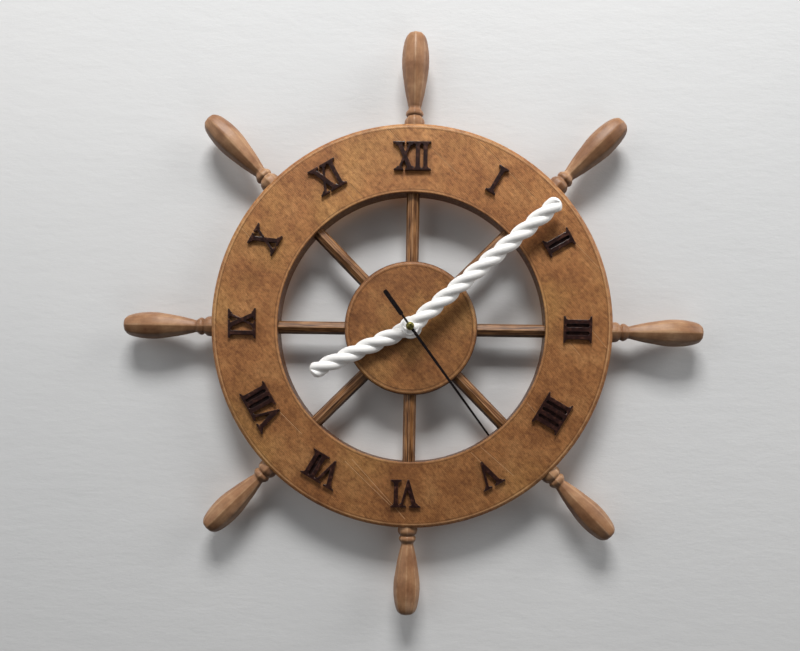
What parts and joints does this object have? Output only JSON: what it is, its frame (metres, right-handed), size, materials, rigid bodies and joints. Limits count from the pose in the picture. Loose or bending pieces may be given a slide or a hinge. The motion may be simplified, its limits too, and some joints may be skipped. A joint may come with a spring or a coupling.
{
  "type": "wall clock",
  "caption": "Ship wheel wall clock: a wheel with spokes and turned handles, raised Roman numerals, rope-shaped hands and a geared quartz movement behind the hub.",
  "frame": {"origin": "on the clock's axis, in the plane of the movement's back, which lies on the wall", "axes": "+Z to twelve, +X to three, +Y into the wall; the dial faces -Y and clockwise turns are positive about +Y"},
  "size_m": [0.4, 0.0402, 0.4],
  "materials": {
    "wheel_stain": "printed plastic, stained wood brown by hand, with fine slanting layer lines",
    "spoke_stain": "printed plastic, stained dark brown, satin",
    "handle_stain": "printed plastic, stained reddish brown, satin",
    "numeral_brown": "very dark brown plastic, slight sheen",
    "hand_white": "white printed plastic",
    "needle_black": "black painted aluminium",
    "cap_brass": "dull olive brass",
    "brass": "turned brass",
    "steel": "plain sheet steel",
    "case_black": "black moulded plastic",
    "gear_nylon": "natural white moulded plastic",
    "copper": "enamelled copper wire",
    "board_green": "green circuit board",
    "rubber_black": "black rubber",
    "battery_wrap": "plain grey wrapped battery"
  },
  "bodies": {
    "clock": {"rim": "wheel_stain", "hub": "wheel_stain", "spoke_12": "spoke_stain", "spoke_1_30": "spoke_stain", "spoke_3": "spoke_stain", "spoke_4_30": "spoke_stain", "spoke_6": "spoke_stain", "spoke_7_30": "spoke_stain", "spoke_9": "spoke_stain", "spoke_10_30": "spoke_stain", "handle_12": "handle_stain", "handle_1_30": "handle_stain", "handle_3": "handle_stain", "handle_4_30": "handle_stain", "handle_6": "handle_stain", "handle_7_30": "handle_stain", "handle_9": "handle_stain", "handle_10_30": "handle_stain", "numeral_1": "numeral_brown", "numeral_2": "numeral_brown", "numeral_3": "numeral_brown", "numeral_4": "numeral_brown", "numeral_5": "numeral_brown", "numeral_6": "numeral_brown", "numeral_7": "numeral_brown", "numeral_8": "numeral_brown", "numeral_9": "numeral_brown", "numeral_10": "numeral_brown", "numeral_11": "numeral_brown", "numeral_12": "numeral_brown", "rear_case": "case_black", "front_case": "case_black", "middle_plate": "case_black", "shaft_bush": "brass", "rubber_washer": "rubber_black", "brass_washer": "brass", "hex_nut": "brass", "wall_hanger": "steel", "battery": "battery_wrap", "battery_spring_contact": "steel", "battery_button_contact": "steel", "circuit_board": "board_green", "coil": "copper", "stator": "steel"},
    "seconds": {"second_hand": "needle_black", "second_hand_bush": "cap_brass", "second_wheel": "gear_nylon"},
    "intermediate": {"intermediate_wheel": "gear_nylon"},
    "rotor": {"rotor": "gear_nylon"},
    "third": {"third_wheel": "gear_nylon"},
    "centre": {"centre_wheel": "gear_nylon"},
    "minutes": {"minute_hand": "hand_white", "minute_arbor": "gear_nylon", "hand_nut": "brass"},
    "motion": {"motion_wheel": "gear_nylon", "setting_knob": "case_black"},
    "hours": {"hour_hand": "hand_white", "hour_wheel": "gear_nylon"}
  },
  "joints": [
    {"name": "seconds_turn", "type": "hinge", "parent": "clock", "child": "seconds", "pos_m": [0, 0, 0], "axis": [0, 1, 0], "continuous": true},
    {"name": "intermediate_turn", "type": "hinge", "parent": "clock", "child": "intermediate", "pos_m": [-0.007, 0, 0], "axis": [0, 1, 0], "continuous": true},
    {"name": "rotor_turn", "type": "hinge", "parent": "clock", "child": "rotor", "pos_m": [-0.01175, 0, 0.00475], "axis": [0, 1, 0], "continuous": true},
    {"name": "third_turn", "type": "hinge", "parent": "clock", "child": "third", "pos_m": [0.00273, 0, 0.01018], "axis": [0, 1, 0], "continuous": true},
    {"name": "centre_turn", "type": "hinge", "parent": "clock", "child": "centre", "pos_m": [0, 0, 0], "axis": [0, 1, 0], "continuous": true},
    {"name": "minutes_turn", "type": "hinge", "parent": "clock", "child": "minutes", "pos_m": [0, 0, 0], "axis": [0, 1, 0], "continuous": true},
    {"name": "motion_turn", "type": "hinge", "parent": "clock", "child": "motion", "pos_m": [0.01152, 0, 0], "axis": [0, 1, 0], "continuous": true},
    {"name": "hours_turn", "type": "hinge", "parent": "clock", "child": "hours", "pos_m": [0, 0, 0], "axis": [0, 1, 0], "continuous": true}
  ],
  "couplings": [
    {"joint": "intermediate_turn", "follows": "seconds_turn", "ratio": -6},
    {"joint": "rotor_turn", "follows": "seconds_turn", "ratio": 30},
    {"joint": "third_turn", "follows": "seconds_turn", "ratio": -0.13333},
    {"joint": "centre_turn", "follows": "seconds_turn", "ratio": 0.016667},
    {"joint": "motion_turn", "follows": "minutes_turn", "ratio": -0.33333},
    {"joint": "hours_turn", "follows": "minutes_turn", "ratio": 0.083333}
  ]
}
